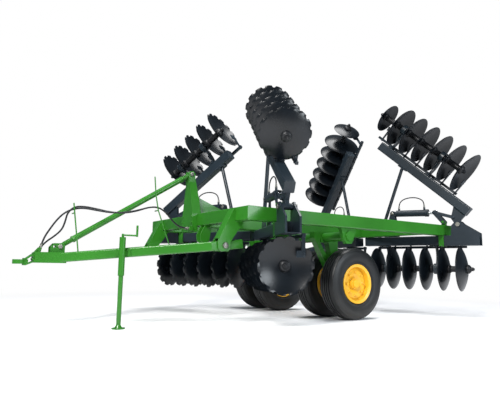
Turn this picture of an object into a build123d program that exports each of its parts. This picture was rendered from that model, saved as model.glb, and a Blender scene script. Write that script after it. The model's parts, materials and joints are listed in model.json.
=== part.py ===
from build123d import *
from math import atan2, cos, degrees, hypot, pi, radians, sin, sqrt, tan
import os

# A folding tandem disc harrow on four transport wheels, wings folded, drawbar on its jack.
# X is lateral, the hitch points along -Y, Z is up from the floor. Lengths are in millimetres.
# While a piece is drawn, y = 0 is the wheel axle; save() moves all to the middle of the length.

# Wheels
TYRE_R = 440.0
TYRE_W = 250.0
RIM_R = 230.0
RIM_W = 210.0
HUB_R = 70.0
HUB_LENGTH = 190.0
WHEEL_OUT_X = 960.0
WHEEL_IN_X = 500.0

# Main frame of square tubes
BEAM_W = 120.0
BEAM_H = 150.0
BEAM_TOP = 1255.0
TUBE_CORNER_R = 14.0
SIDE_X = 1160.0
FRONT_Y = -1750.0
SIDE_REAR_Y = 1800.0
REAR_CROSS_Y = 1230.0

# Gang beams hang right under the frame
GANG_W = 130.0
GANG_H = 130.0
GANG_INNER_X = 75.0
HINGE_X = 1380.0
HINGE_Z = 1255.0
PIN_R = 22.0
PIN_CLEARANCE = 0.4
END_GAP = 15.0
CHEEK_T = 20.0
SIDE_CLEARANCE = 5.0
CHEEK_IN = 190.0
CHEEK_OUT = 268.0
CLAMP_HALF = 35.0
SEAT_GAP = 0.3

# Discs
DISC_R = 305.0
DISC_DEPTH = 80.0
DISC_T = 7.0
DISC_FLAT_R = 70.0
DISC_PITCH = 240.0
NOTCHES = 14
NOTCH_R = 26.0
AXLE_Z = 640.0
AXLE_HALF = 17.0
SPOOL_R = 42.0
SPOOL_FLANGE_R = 62.0
BEARING_R = 75.0
BEARING_W = 70.0
BEARING_CLEARANCE = 0.4
HANGER_T = 24.0
HANGER_W = 72.0
HANGER_BOW = 58.0
SCRAPER_BACK = 175.0
SCRAPER_BAR = 36.0
SCRAPER_T = 14.0
SCRAPER_GAP = 8.0
SCRAPER_END = 50.0
SCRAPER_BRACKET_W = 40.0
SCRAPER_BRACKET_SHIFT = 80.0
CENTRE_FIRST_U = -5.0
CENTRE_DISCS = 6

# Wing fold linkage, in the upright plane along a gang: u outward and v up from the hinge pin
ROCKER_PIVOT = (-205.0, 45.0)
ROD_EYE_FOLDED = (-320.0, 187.0)
WING_LUG = (130.0, -30.0)
BARREL_EYE = (-945.0, 205.0)
FOLD_BARREL_R = 48.0
FOLD_ROD_R = 22.0
FOLD_BARREL_LENGTH = 520.0
FOLD_ROD_START = 90.0
EYE_R = 40.0
LINK_W = 44.0
EYE_T = 46.0
EYE_GAP = 2.0
ROD_CLEARANCE = 0.5
PLATE_T = 14.0
PLATE_GAP = 6.0
PROP_STATION = 1180.0
PROP_FOOT_U = -1165.0
PROP_R = 24.0

# Transport axle
ROCKSHAFT_Y = -260.0
ROCKSHAFT_Z = 1010.0
ROCKSHAFT_R = 57.0
BEARING_PLATE_W = 50.0
ARM_X = 730.0
ARM_W = 90.0
SPINDLE_R = 32.0
LEVER_LENGTH = 240.0
LIFT_BASE = (560.0, 950.0)
LIFT_BARREL_R = 52.0
LIFT_ROD_R = 22.0
LIFT_BARREL_LENGTH = 610.0
LIFT_ROD_START = 260.0

# Drawbar, hitch and jack
HEAD_Y = -3530.0
HEAD_LENGTH = 290.0
HEAD_Z = 690.0
HEAD_COVER = 6.0
ARM_FRONT_X = 70.0
ARM_SEAT = 60.0
ARM_BEND = (930.0, -2010.0, 829.0)
ARM_REAR = (930.0, -1640.0, 870.0)
ARM_PIN_BACK = 140.0
DRAW_TUBE_W = 80.0
DRAW_TUBE_H = 96.0
TIE_BACK = 1180.0
TIE_W = 60.0
TIE_H = 68.0
HITCH_PIN_R = 20.0
HITCH_REACH = 135.0
HITCH_Z = 645.0
EYE_THICKNESS = 44.0
EYE_OUTER_R = 58.0
MAST_TOP = 1790.0
MAST_LOW = 1040.0
MAST_FRONT = 70.0
MAST_HALF_LOW = 150.0
MAST_HALF_BEAM = 128.0
MAST_HALF_TOP = 40.0
STRUT_FOOT = (240.0, 805.0)
STRUT_HIGH = (-1800.0, 1748.0)
STRUT_R = 32.0
STRUT_PIN_R = 16.0
JACK_Y = -2745.0
JACK_TUBE_R = 31.0
JACK_LEG_R = 23.0
JACK_TUBE_LOW = 520.0
JACK_TUBE_TOP = 905.0
JACK_LEG_TOP = 660.0
JACK_FOOT_R = 66.0
JACK_WEB = 30.0
JACK_FIT = 0.4

# Hoses and what carries them
HOSE_R = 9.0
LOOP_HOSE_R = 8.0
ARC_SHARE = 0.45
STAND_ROD_R = 7.0
STAND_FOOT_BACK = 158.0
HOOK_REACH = 52.0
HOOK_TAIL = 40.0
FRONT_HOOK = (118.0, -3198.0, 1152.0)
FRONT_HORN = [(-3212.0, 1250.0)]
REAR_HOOK = (118.0, -2275.0, 1250.0)
REAR_HORN = [(-2312.0, 1430.0), (-2332.0, 1631.0)]
DOCK_R = 16.0
DOCK_LENGTH = 60.0
BLOCK_X = (72.0, 164.0)
BLOCK_DEPTH = 46.0
BLOCK_Z = 1072.0
BLOCK_HALF = 26.0
PLATE_PLACES = (210.0, 300.0)
PORT_R = 15.0
PORT_TOP_V = 275.0
PORT_FROM_EYE = 95.0
PORT_FROM_END = 50.0

# Where each long hose leaves its parking socket on the head: x, back from the head's front, up
DOCK_MOUTHS = {"left": (34.0, 52.0, 46.0), "right": (-26.0, 52.0, 38.0)}
# The route of each long hose from there to the block on the mast
HOSE_ROUTES = {
    "left": [(42, -3458, 880), (64, -3410, 975), (96, -3350, 1080), (124, -3280, 1160),
             (134, -3185, 1203), (134, -3085, 1214), (134, -2965, 1200), (134, -2805, 1186),
             (134, -2645, 1200), (134, -2485, 1243), (134, -2355, 1288), (134, -2245, 1288),
             (134, -2155, 1232), (134, -2065, 1130), (134, -1962, 1072)],
    "right": [(-12, -3425, 850), (22, -3348, 912), (62, -3288, 980), (86, -3266, 1066),
              (98, -3254, 1152), (102, -3194, 1222), (102, -3090, 1236), (102, -2960, 1220),
              (102, -2810, 1196), (102, -2650, 1196), (102, -2500, 1232), (102, -2370, 1284),
              (102, -2255, 1300), (102, -2160, 1252), (102, -2075, 1160), (102, -1968, 1072)],
}
# The loop over each fold cylinder, (u, v) from the hinge pin
LOOP_ROUTE = [(-850, 275), (-850, 335), (-815, 395), (-740, 427), (-655, 435), (-570, 423),
              (-500, 385), (-475, 330), (-475, 275)]

# One row of the table for each row of gangs:
# gang angle from the X axis, hinge y, way the outer end leans (-1 forward, 1 rearward),
# wing discs, first wing disc's distance from the hinge, wing beam past its last hanger, fold
# angle, hanger places counted in disc pitches from the first disc, notches, end disc's radius
ROWS = {
    "front": dict(angle=24.0, y=-1370.0, lean=-1, wing_discs=5, first=530.0, beam_past=310.0,
                  fold=146.0, wing_hangers=(0.5, 2.5), notched=True, end_disc_r=DISC_R),
    "rear": dict(angle=18.5, y=1720.0, lean=1, wing_discs=7, first=405.0, beam_past=160.0,
                 fold=138.0, wing_hangers=(1.5, 4.5), notched=False, end_disc_r=225.0),
}
CENTRE_HANGERS = (1.5, 4.5)
SIDES = {"left": 1, "right": -1}

FRAME_LOW = BEAM_TOP - BEAM_H
GANG_LOW = FRAME_LOW - GANG_H
GANG_MID = FRAME_LOW - GANG_H / 2
ROCKER_PIN_R = PIN_R - 4
HITCH_PIN_Y = HEAD_Y - HITCH_REACH
HITCH_TIP_Y = HITCH_PIN_Y - EYE_OUTER_R
STRUT_LOW = (HEAD_Y + STRUT_FOOT[0], STRUT_FOOT[1])
HEAD_TOP = HEAD_Z + DRAW_TUBE_H / 2 + HEAD_COVER
ARM_START_Y = HEAD_Y + HEAD_LENGTH - ARM_SEAT


def turned(point, angle):
    """A (u, v) point on the wing when the wing is turned up by this angle."""
    a = radians(angle)
    return (point[0] * cos(a) - point[1] * sin(a), point[0] * sin(a) + point[1] * cos(a))


def rear_reach():
    """The rearmost point: the rim of the rear wing's first disc, when the wing is folded."""
    row = ROWS["rear"]
    turn = radians(row["angle"])
    rim_u = turned((row["first"] - DISC_T, AXLE_Z - HINGE_Z), row["fold"])[0]
    return row["y"] + rim_u * sin(turn) + DISC_R * hypot(cos(turn), sin(turn) * sin(radians(row["fold"])))


MID_Y = (HITCH_TIP_Y + rear_reach()) / 2


def save(name, *pieces):
    shape = Compound(children=[p.moved(Location((0, -MID_Y, 0))) for p in solids_of(pieces)])
    export_step(shape, f"parts/{name}.step")


def solids_of(pieces):
    found = []
    for piece in pieces:
        found += list(piece.solids())
    return found


def box(x0, x1, y0, y1, z0, z1):
    size = (x1 - x0, y1 - y0, z1 - z0)
    return Pos((x0 + x1) / 2, (y0 + y1) / 2, (z0 + z1) / 2) * Box(*size)


def tube_x(x0, x1, y, z, w, h):
    """A square tube along X with round corners, closed at its ends."""
    plane = Plane(origin=(x0, y, z), x_dir=(0, 1, 0), z_dir=(1, 0, 0))
    return extrude(plane * RectangleRounded(w, h, TUBE_CORNER_R), x1 - x0)


def tube_y(x, y0, y1, z, w, h):
    plane = Plane(origin=(x, y0, z), x_dir=(-1, 0, 0), z_dir=(0, 1, 0))
    return extrude(plane * RectangleRounded(w, h, TUBE_CORNER_R), y1 - y0)


def bar(p0, p1, w, h):
    """A square tube from p0 to p1 whose width stays level."""
    run = Vector(*p1) - Vector(*p0)
    level = Vector(-run.Y, run.X, 0).normalized()
    plane = Plane(origin=p0, x_dir=level, z_dir=run.normalized())
    return extrude(plane * RectangleRounded(w, h, TUBE_CORNER_R), run.length)


def rod(p0, p1, r):
    run = Vector(*p1) - Vector(*p0)
    return extrude(Plane(origin=p0, z_dir=run.normalized()) * Circle(r), run.length)


def plate_uv(points, y0, y1, holes=()):
    """A plate cut to an outline in the X-Z plane, from y0 to y1, with (x, z, r) holes."""
    with BuildSketch(Plane.XZ.offset(-y1)) as sketch:
        with BuildLine():
            Polyline(*points, close=True)
        make_face()
        for x, z, r in holes:
            with Locations((x, z)):
                Circle(r, mode=Mode.SUBTRACT)
    return extrude(sketch.sketch, y1 - y0)


def plate_yz(points, x0, x1, holes=()):
    """A plate cut to an outline in the Y-Z plane, from x0 to x1, with (y, z, r) holes."""
    with BuildSketch(Plane(origin=(x0, 0, 0), x_dir=(0, 1, 0), z_dir=(1, 0, 0))) as sketch:
        with BuildLine():
            Polyline(*points, close=True)
        make_face()
        for y, z, r in holes:
            with Locations((y, z)):
                Circle(r, mode=Mode.SUBTRACT)
    return extrude(sketch.sketch, x1 - x0)


def pin_x(x, y, z, r, length):
    return Pos(x, y, z) * Rot(0, 90, 0) * Cylinder(r, length)


def strap(p, q, width, y0, y1, hole_p, hole_q):
    """A link plate with round ends from p to q, both (x, z), bored at each end."""
    middle = ((p[0] + q[0]) / 2, (p[1] + q[1]) / 2)
    slope = degrees(atan2(q[1] - p[1], q[0] - p[0]))
    length = hypot(q[0] - p[0], q[1] - p[1])
    with BuildSketch(Plane.XZ.offset(-y1)) as sketch:
        with Locations(Location(middle, slope)):
            SlotCenterToCenter(length, width)
        for point, r in ((p, hole_p), (q, hole_q)):
            if r:
                with Locations(point):
                    Circle(r, mode=Mode.SUBTRACT)
    return extrude(sketch.sketch, y1 - y0)


def pin_y(x, z, r, y0, y1):
    return Pos(x, (y0 + y1) / 2, z) * Rot(90, 0, 0) * Cylinder(r, y1 - y0)


def both(y0, y1, make):
    """The same plate on both sides of the plane y = 0."""
    return [make(y0, y1), make(-y1, -y0)]


def place(shape, row):
    """From the gang's own frame, u along X from the hinge, to its place on the left side."""
    turn = row["lean"] * row["angle"]
    return Location((HINGE_X, row["y"], 0), (0, 0, turn)) * shape


def on_side(shape, side):
    return shape if side > 0 else mirror(shape, about=Plane.YZ)


def folded(shape, row):
    """A wing piece drawn flat, turned up about the hinge pin to its folded place."""
    return shape.rotate(Axis((0, 0, HINGE_Z), (0, 1, 0)), -row["fold"])


def inner_u(row):
    return (GANG_INNER_X - HINGE_X) / cos(radians(row["angle"]))


def rod_eye_at(row, angle):
    """Where the rod eye stands when the wing is turned up by this angle, from the linkage."""
    lug = turned(WING_LUG, row["fold"])
    link = hypot(ROD_EYE_FOLDED[0] - lug[0], ROD_EYE_FOLDED[1] - lug[1])
    rocker = hypot(ROD_EYE_FOLDED[0] - ROCKER_PIVOT[0], ROD_EYE_FOLDED[1] - ROCKER_PIVOT[1])
    lug = turned(WING_LUG, angle)
    run = (lug[0] - ROCKER_PIVOT[0], lug[1] - ROCKER_PIVOT[1])
    gap = hypot(*run)
    near = (rocker ** 2 - link ** 2 + gap ** 2) / (2 * gap)
    rise = sqrt(rocker ** 2 - near ** 2)
    return (ROCKER_PIVOT[0] + (near * run[0] - rise * run[1]) / gap,
            ROCKER_PIVOT[1] + (near * run[1] + rise * run[0]) / gap)


# Frame

def front_cross_beam():
    half = SIDE_X + BEAM_W / 2
    beam = tube_x(-half, half, FRONT_Y + BEAM_W / 2, BEAM_TOP - BEAM_H / 2, BEAM_W, BEAM_H)
    low = FRAME_LOW - 210
    outline = [(FRONT_Y + 8, FRAME_LOW + 2), (FRONT_Y + 100, FRAME_LOW + 2), (FRONT_Y + 70, low + 30),
               (FRONT_Y + 10, low), (FRONT_Y - 40, low + 20), (FRONT_Y - 50, low + 95)]
    plates = [plate_yz(outline, x, x + PLATE_T) for x in PLATE_PLACES]
    return sum_of([beam] + plates) + drawbar_legs()


def arm_pin():
    """The place (y, z) of the pins that carry the drawbar's arms, from the arm's own slope."""
    y = ARM_BEND[1] + ARM_PIN_BACK
    rise = (ARM_REAR[2] - ARM_BEND[2]) / (ARM_REAR[1] - ARM_BEND[1])
    return y, ARM_BEND[2] + ARM_PIN_BACK * rise


def drawbar_legs():
    """A leaning boxed leg on each side, forked about the drawbar's arm, with its pin."""
    y, z = arm_pin()
    x = ARM_REAR[0]
    inner = DRAW_TUBE_W / 2 + SIDE_CLEARANCE - 2
    top_front = (FRONT_Y - 14, BEAM_TOP - 10)
    low_front = (y - 88, z + 40)
    outline = [top_front, (FRONT_Y + 60, BEAM_TOP - 10), (FRONT_Y + 110, FRAME_LOW + 4),
               (y + 66, z + 40), (y + 60, z - 44), (y + 34, z - 62), (y - 46, z - 62), (y - 84, z - 30),
               low_front]
    lean = (top_front[0] - low_front[0]) / (top_front[1] - low_front[1])
    clear_z = z + DRAW_TUBE_H / 2 + 22
    clear_y = low_front[0] + lean * (clear_z - low_front[1])
    web = [top_front, (top_front[0] + 14, top_front[1]), (clear_y + 14, clear_z), (clear_y, clear_z)]
    pieces = []
    for side in (1, -1):
        for x0 in (x + inner, x - inner - PLATE_T):
            pieces.append(on_side(plate_yz(outline, x0, x0 + PLATE_T), side))
        pieces.append(on_side(plate_yz(web, x - inner - 2, x + inner + 2), side))
        pieces.append(on_side(pin_x(x, y, z, PIN_R, 2 * (inner + PLATE_T + 14)), side))
    return sum_of(pieces)


def sum_of(pieces):
    total = pieces[0]
    for piece in pieces[1:]:
        total = total + piece
    return total


def side_beam():
    """A long beam with the bearing plate of the rockshaft welded under it."""
    y0 = FRONT_Y + BEAM_W
    beam = tube_y(SIDE_X, y0, SIDE_REAR_Y, BEAM_TOP - BEAM_H / 2, BEAM_W, BEAM_H)
    low = ROCKSHAFT_Z - ROCKSHAFT_R - 35
    outline = [(ROCKSHAFT_Y - 130, FRAME_LOW), (ROCKSHAFT_Y - 75, low + 40), (ROCKSHAFT_Y - 40, low),
               (ROCKSHAFT_Y + 40, low), (ROCKSHAFT_Y + 75, low + 40), (ROCKSHAFT_Y + 130, FRAME_LOW)]
    half = BEARING_PLATE_W / 2
    hole = (ROCKSHAFT_Y, ROCKSHAFT_Z, ROCKSHAFT_R + PIN_CLEARANCE)
    bearing = plate_yz(outline, SIDE_X - half, SIDE_X + half, [hole])
    return beam + bearing + rocker_stands() + gang_clamps()


def gang_clamps():
    """The strap under each gang beam that holds it up against the side beam."""
    near = GANG_W / 2 + SEAT_GAP
    far = near + PLATE_T
    low = GANG_LOW - SEAT_GAP
    clamps = []
    for row in ROWS.values():
        u = (SIDE_X - HINGE_X) / cos(radians(row["angle"]))
        legs = both(near, far, lambda a, b: box(u - CLAMP_HALF, u + CLAMP_HALF, a, b, low - 4, FRAME_LOW + 2))
        strap_box = box(u - CLAMP_HALF, u + CLAMP_HALF, -far, far, low - PLATE_T, low)
        clamps.append(place(sum_of([strap_box] + legs), row))
    return sum_of(clamps)


def rocker_stands():
    """The upright that carries each rocker's pin, on the side beam, with its pin."""
    stands = []
    half = EYE_T / 2 + EYE_GAP
    for row in ROWS.values():
        u, v = ROCKER_PIVOT
        z = HINGE_Z + v
        foot = BEAM_TOP
        block = plate_uv([(u - 32, foot), (u + 32, foot), (u + 24, z + 14), (u + 10, z + 26),
                          (u - 10, z + 26), (u - 24, z + 14)], -half, half)
        reach = rocker_outer() + 8
        pin = pin_y(u, z, ROCKER_PIN_R, -reach, reach)
        stands.append(place(block + pin, row))
    return sum_of(stands)


def link_inner():
    return EYE_T / 2 + PLATE_GAP


def rocker_inner():
    return link_inner() + PLATE_T + PLATE_GAP / 2


def rocker_outer():
    return rocker_inner() + PLATE_T


def inner_beams():
    """The centre beam and the rear cross beam, joined in a T."""
    z = BEAM_TOP - BEAM_H / 2
    centre = tube_y(0, FRONT_Y + BEAM_W, REAR_CROSS_Y, z, BEAM_W, BEAM_H)
    reach = SIDE_X - BEAM_W / 2
    cross = tube_x(-reach, reach, REAR_CROSS_Y, z, BEAM_W, BEAM_H)
    return centre + cross + lift_bracket()


def lift_bracket():
    y, z = LIFT_BASE
    outline = [(y - 90, FRAME_LOW + 2), (y - 38, z - 10), (y - 15, z - 40), (y + 20, z - 40),
               (y + 42, z - 10), (y + 130, FRAME_LOW + 2)]
    inner = EYE_T / 2 + EYE_GAP
    pieces = [plate_yz(outline, x0, x0 + PLATE_T) for x0 in (inner, -inner - PLATE_T)]
    pieces.append(pin_x(0, y, z, ROCKER_PIN_R, 2 * (inner + PLATE_T + 8)))
    return sum_of(pieces)


def mast():
    """A tapered box tower that hooks over the front beam, with a brace behind and ears on top."""
    front = FRONT_Y - MAST_FRONT
    rear = FRONT_Y + 50
    apron = Plane(origin=(0, 0, MAST_LOW)) * section_xy(MAST_HALF_LOW, front, FRONT_Y)
    apron_top = Plane(origin=(0, 0, BEAM_TOP)) * section_xy(MAST_HALF_BEAM, front, FRONT_Y)
    crown_z = MAST_TOP - 100
    foot = Plane(origin=(0, 0, BEAM_TOP)) * section_xy(MAST_HALF_BEAM, front, rear)
    waist_z = BEAM_TOP + 150
    waist = Plane(origin=(0, 0, waist_z)) * section_xy(MAST_HALF_BEAM * 0.78, front, rear - 8)
    crown = Plane(origin=(0, 0, crown_z)) * section_xy(MAST_HALF_TOP, front - 5, rear - 40)
    pieces = [loft([apron.face(), apron_top.face()]), loft([foot.face(), waist.face()]),
              loft([waist.face(), crown.face()])]
    y_pin, z_pin = STRUT_HIGH
    ear_gap = STRUT_R + 2
    ears = [(rear - 52, crown_z - 70), (rear - 48, z_pin + 4), (y_pin + 26, MAST_TOP),
            (y_pin - 30, MAST_TOP - 10), (y_pin - 42, z_pin - 26), (front - 2, crown_z - 70)]
    for x0 in (ear_gap, -ear_gap - PLATE_T):
        pieces.append(plate_yz(ears, x0, x0 + PLATE_T))
    pieces.append(pin_x(0, y_pin, z_pin, STRUT_PIN_R, 2 * (ear_gap + PLATE_T + 10)))
    brace = [(rear - 20, BEAM_TOP), (rear + 480, BEAM_TOP), (rear + 460, BEAM_TOP + 50),
             (rear - 20, BEAM_TOP + 235)]
    pieces.append(plate_yz(brace, -PLATE_T / 2, PLATE_T / 2))
    pieces.append(box(*BLOCK_X, front - BLOCK_DEPTH, front + 2, BLOCK_Z - BLOCK_HALF, BLOCK_Z + BLOCK_HALF))
    return sum_of(pieces)


def section_xy(half, y0, y1):
    return Pos(0, (y0 + y1) / 2) * Rectangle(2 * half, y1 - y0)


def levelling_strut():
    """A long screw strut with a fat middle sleeve and a round eye at each end."""
    low = (0, *STRUT_LOW)
    high = (0, *STRUT_HIGH)
    run = Vector(*high) - Vector(*low)
    axis = run.normalized()
    eye_w = 2 * STRUT_R
    start = Vector(*low) + axis * 34
    end = Vector(*high) - axis * 34
    sleeve0 = Vector(*low) + axis * 170
    sleeve1 = Vector(*high) - axis * 150
    shape = rod(tuple(start), tuple(end), STRUT_R * 0.72) + rod(tuple(sleeve0), tuple(sleeve1), STRUT_R)
    for point in (low, high):
        shape = shape + pin_x(*point, 36, eye_w) - pin_x(*point, STRUT_PIN_R + PIN_CLEARANCE, eye_w + 2)
    return shape


def drawbar():
    """The A-shaped drawbar: two arms bent in plan, a tie tube and the boxed head."""
    pieces = []
    bend = Vector(*ARM_BEND)
    start = Vector(ARM_FRONT_X, ARM_START_Y, HEAD_Z)
    front_way = (bend - start).normalized()
    rear_way = (Vector(*ARM_REAR) - bend).normalized()
    mitre = DRAW_TUBE_W / 2 * tan(radians(front_way.get_angle(rear_way)) / 2)
    pin_back, pin_z = arm_pin()
    for side in (1, -1):
        front_arm = bar(tuple(start), tuple(bend + front_way * mitre), DRAW_TUBE_W, DRAW_TUBE_H)
        rear_arm = bar(tuple(bend - rear_way * mitre), ARM_REAR, DRAW_TUBE_W, DRAW_TUBE_H)
        hole = pin_x(ARM_REAR[0], pin_back, pin_z, PIN_R + PIN_CLEARANCE, 2 * DRAW_TUBE_W)
        pieces.append(on_side(front_arm + rear_arm - hole, side))
    y = ARM_START_Y + TIE_BACK
    tie = tube_x(-arm_x(y), arm_x(y), y, arm_z(y), TIE_W, TIE_H)
    head_rear = HEAD_Y + HEAD_LENGTH
    half_rear = ARM_FRONT_X + DRAW_TUBE_W * 0.8
    half_front = 62.0
    outline = Polyline((-half_front, HEAD_Y), (half_front, HEAD_Y), (half_rear, head_rear),
                       (-half_rear, head_rear), close=True)
    head_low = HEAD_Z - DRAW_TUBE_H / 2 - HEAD_COVER
    head = extrude(Pos(0, 0, head_low) * make_face(outline), HEAD_TOP - head_low)
    return sum_of(pieces + [tie, head, strut_ears(), hose_docks()])


def strut_ears():
    """Two ears on the head, each with a spare hole, that hold the foot of the levelling strut."""
    y, z = STRUT_LOW
    gap = STRUT_R + 2
    seat = HEAD_TOP - 4
    outline = [(y - 95, seat), (y + 48, seat), (y + 48, z + 12), (y + 28, z + 34), (y - 60, z + 34),
               (y - 95, z - 6)]
    spare = (y - 52, z, STRUT_PIN_R)
    pieces = [plate_yz(outline, x0, x0 + PLATE_T, [spare]) for x0 in (gap, -gap - PLATE_T)]
    pieces.append(pin_x(0, y, z, STRUT_PIN_R, 2 * (gap + PLATE_T + 10)))
    return sum_of(pieces)


def dock_mouth(side_name):
    x, back, up = DOCK_MOUTHS[side_name]
    return Vector(x, HEAD_Y + back, HEAD_TOP + up)


def hose_docks():
    """Two sockets on the head in which the hose couplings are parked, each in line with its hose."""
    pieces = []
    for side_name, route in HOSE_ROUTES.items():
        mouth = dock_mouth(side_name)
        way = (Vector(*route[0]) - mouth).normalized()
        pieces.append(rod(tuple(mouth - way * DOCK_LENGTH), tuple(mouth), DOCK_R))
    return sum_of(pieces)


def hitch_tongue():
    """The pull eye: a forged ring and neck held by two straps that close in from the head."""
    gap = EYE_THICKNESS / 2
    half = 40.0
    low = HEAD_Z - DRAW_TUBE_H / 2
    high = HEAD_Z + DRAW_TUBE_H / 2
    near_y = HITCH_PIN_Y + 38
    far_y = near_y + 30
    strap_t = 14.0
    top = [(HEAD_Y, high), (HEAD_Y, high - strap_t * 1.3), (far_y, HITCH_Z + gap),
           (near_y, HITCH_Z + gap), (near_y, HITCH_Z + gap + strap_t), (far_y - 8, HITCH_Z + gap + strap_t)]
    bottom = [(HEAD_Y, low), (HEAD_Y, low + strap_t * 1.3), (far_y, HITCH_Z - gap),
              (near_y, HITCH_Z - gap), (near_y, HITCH_Z - gap - strap_t),
              (far_y - 8, HITCH_Z - gap - strap_t)]
    straps = [plate_yz(outline, -half, half) for outline in (top, bottom)]
    back_plate = box(-half - 8, half + 8, HEAD_Y - 12, HEAD_Y, low, high)
    neck = box(-34, 34, HITCH_PIN_Y + 20, far_y + 14, HITCH_Z - gap, HITCH_Z + gap)
    ring = Pos(0, HITCH_PIN_Y, HITCH_Z) * Cylinder(EYE_OUTER_R, EYE_THICKNESS)
    hole = Pos(0, HITCH_PIN_Y, HITCH_Z) * Cylinder(HITCH_PIN_R, EYE_THICKNESS + 40)
    return sum_of([back_plate, neck, ring] + straps) - hole


def arm_x(y):
    run = (y - ARM_START_Y) / (ARM_BEND[1] - ARM_START_Y)
    return ARM_FRONT_X + (ARM_BEND[0] - ARM_FRONT_X) * run


def arm_outward():
    """The level direction square to the left arm, pointing away from the machine's middle."""
    run = Vector(ARM_BEND[0] - arm_x(JACK_Y), ARM_BEND[1] - JACK_Y, 0).normalized()
    return Vector(-run.Y, run.X, 0) * -1


def jack_centre():
    """The jack stands beside the left arm, off its outer face by the clamp's web."""
    return Vector(arm_x(JACK_Y), JACK_Y, 0) + arm_outward() * (DRAW_TUBE_W / 2 + JACK_TUBE_R + JACK_WEB)


def arm_z(y):
    return HEAD_Z + (ARM_BEND[2] - HEAD_Z) * (y - ARM_START_Y) / (ARM_BEND[1] - ARM_START_Y)


def jack_tube():
    """The outer tube of the screw jack, its clamp on the arm and its crank."""
    at = jack_centre()
    height = JACK_TUBE_TOP - JACK_TUBE_LOW
    sleeve = Pos(at.X, at.Y, JACK_TUBE_LOW + height / 2) * Cylinder(JACK_TUBE_R, height)
    bore_height = height - 20
    bore = Pos(at.X, at.Y, JACK_TUBE_LOW + bore_height / 2) * Cylinder(JACK_LEG_R + JACK_FIT, bore_height)
    crank_z = JACK_TUBE_TOP + 22
    shaft = rod((at.X, at.Y, JACK_TUBE_TOP - 5), (at.X, at.Y, crank_z + 12), 12)
    arm = rod((at.X, at.Y, crank_z), (at.X, at.Y + 150, crank_z), 9)
    grip = rod((at.X, at.Y + 150, crank_z - 12), (at.X, at.Y + 150, crank_z + 105), 11)
    return sleeve + jack_clamp() - bore + shaft + arm + grip


def jack_clamp():
    """A flat pad on the arm's face with a web that runs out to the jack tube."""
    out = arm_outward()
    turn = degrees(atan2(out.Y, out.X))
    face = Vector(arm_x(JACK_Y), JACK_Y, arm_z(JACK_Y)) + out * (DRAW_TUBE_W / 2)
    pad = Location(tuple(face + out * 6), (0, 0, turn)) * Box(12, 150, DRAW_TUBE_H - 2 * TUBE_CORNER_R)
    reach = JACK_WEB + JACK_TUBE_R
    web = Location(tuple(face + out * (2 + reach / 2)), (0, 0, turn)) * Box(reach - 4, 60, 44)
    return pad + web


def jack_leg():
    """The inner leg, run out until its round foot stands on the floor."""
    at = jack_centre()
    foot = Pos(at.X, at.Y, 6) * Cylinder(JACK_FOOT_R, 12)
    collar = Pos(at.X, at.Y, 27) * Cone(JACK_LEG_R + 16, JACK_LEG_R, 30)
    return foot + collar + rod((at.X, at.Y, 10), (at.X, at.Y, JACK_LEG_TOP), JACK_LEG_R)


def hose_guide():
    """Two thin leaning rods, each with a shelf under the hoses, on the left arm and on the tie tube."""
    y = ARM_START_Y + STAND_FOOT_BACK
    front_foot = (arm_x(y), y, arm_z(y) + DRAW_TUBE_H / 2 + 1)
    tie_y = ARM_START_Y + TIE_BACK
    rear_foot = (REAR_HOOK[0] + HOOK_REACH, tie_y, arm_z(tie_y) + TIE_H / 2 + 3)
    rods = []
    for foot, hook, horn in ((front_foot, FRONT_HOOK, FRONT_HORN), (rear_foot, REAR_HOOK, REAR_HORN)):
        side_x = hook[0] + HOOK_REACH
        corner = (side_x, hook[1], hook[2])
        stops = [foot, corner] + [(side_x, *stop) for stop in horn]
        pieces = [rod(a, b, STAND_ROD_R) for a, b in zip(stops, stops[1:])]
        pieces += [Pos(*stop) * Sphere(STAND_ROD_R) for stop in stops[1:]]
        tail = (hook[0] - HOOK_TAIL, hook[1], hook[2])
        pieces += [rod(corner, tail, STAND_ROD_R), Pos(*tail) * Sphere(STAND_ROD_R)]
        rods.append(sum_of(pieces))
    return rods


def hose(name, points, r):
    """A hose of straight runs joined by arcs that touch them, as wide as the runs allow."""
    stops = [Vector(*p) for p in points]
    radii = []
    for a, b, c in zip(stops, stops[1:], stops[2:]):
        turn = radians((b - a).get_angle(c - b))
        radii.append(ARC_SHARE * min((b - a).length, (c - b).length) / tan(turn / 2))
    path = FilletPolyline(*points, radius=radii)
    tube = sweep(Plane(origin=points[0], z_dir=stops[1] - stops[0]) * Circle(r), path)
    share = tube.volume / (pi * r ** 2 * path.length)
    print(f"{name}: {path.length:.0f} mm, volume share {share:.4f}, radii {[round(x) for x in radii]}")
    return tube


def long_hose(side_name):
    route = HOSE_ROUTES[side_name]
    end = (route[-1][0], FRONT_Y - MAST_FRONT - BLOCK_DEPTH, BLOCK_Z)
    return hose(side_name, [tuple(dock_mouth(side_name))] + route + [end], HOSE_R)


def loop_hose():
    """The loop from one port of a fold cylinder to the other, over the barrel."""
    return hose("loop", [(u, 0, HINGE_Z + v) for u, v in LOOP_ROUTE], LOOP_HOSE_R)


def barrel_ports():
    """Two short ports on top of a fold cylinder's barrel."""
    ports = []
    for u in (BARREL_EYE[0] + PORT_FROM_EYE, BARREL_EYE[0] + FOLD_BARREL_LENGTH - PORT_FROM_END):
        share = (u - BARREL_EYE[0]) / (ROD_EYE_FOLDED[0] - BARREL_EYE[0])
        v = BARREL_EYE[1] + (ROD_EYE_FOLDED[1] - BARREL_EYE[1]) * share
        low = HINGE_Z + v + FOLD_BARREL_R - 8
        ports.append(rod((u, 0, low), (u, 0, HINGE_Z + PORT_TOP_V), PORT_R))
    return sum_of(ports)


# Gangs

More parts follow.
